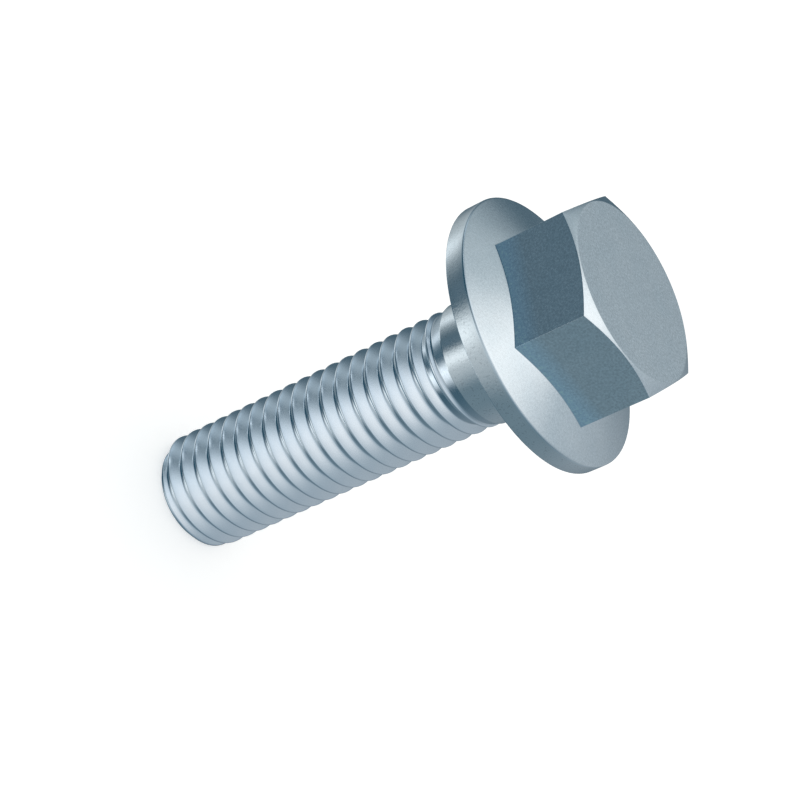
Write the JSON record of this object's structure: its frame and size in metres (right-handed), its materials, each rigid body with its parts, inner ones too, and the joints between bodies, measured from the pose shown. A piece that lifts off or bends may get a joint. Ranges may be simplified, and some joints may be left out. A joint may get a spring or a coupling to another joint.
{
  "type": "flange bolt",
  "caption": "Hexagon head bolt with an integral conical flange, a plain neck and a coarse metric right-hand thread down to a chamfered tip.",
  "frame": {"origin": "centre of the flange's bearing face, on the bolt's axis", "axes": "+Z along the bolt's axis towards the top of the head, so the thread runs down to -Z; two opposite corners of the hexagon lie along Y and two opposite flats face +X and -X"},
  "size_m": [0.0222, 0.0222, 0.0442],
  "materials": {
    "zinc_steel": "bright zinc plate on steel, slightly bluish, with a fine satin grain on the forged head"
  },
  "bodies": {
    "root": {"flange_bolt": "zinc_steel"}
  },
  "joints": []
}
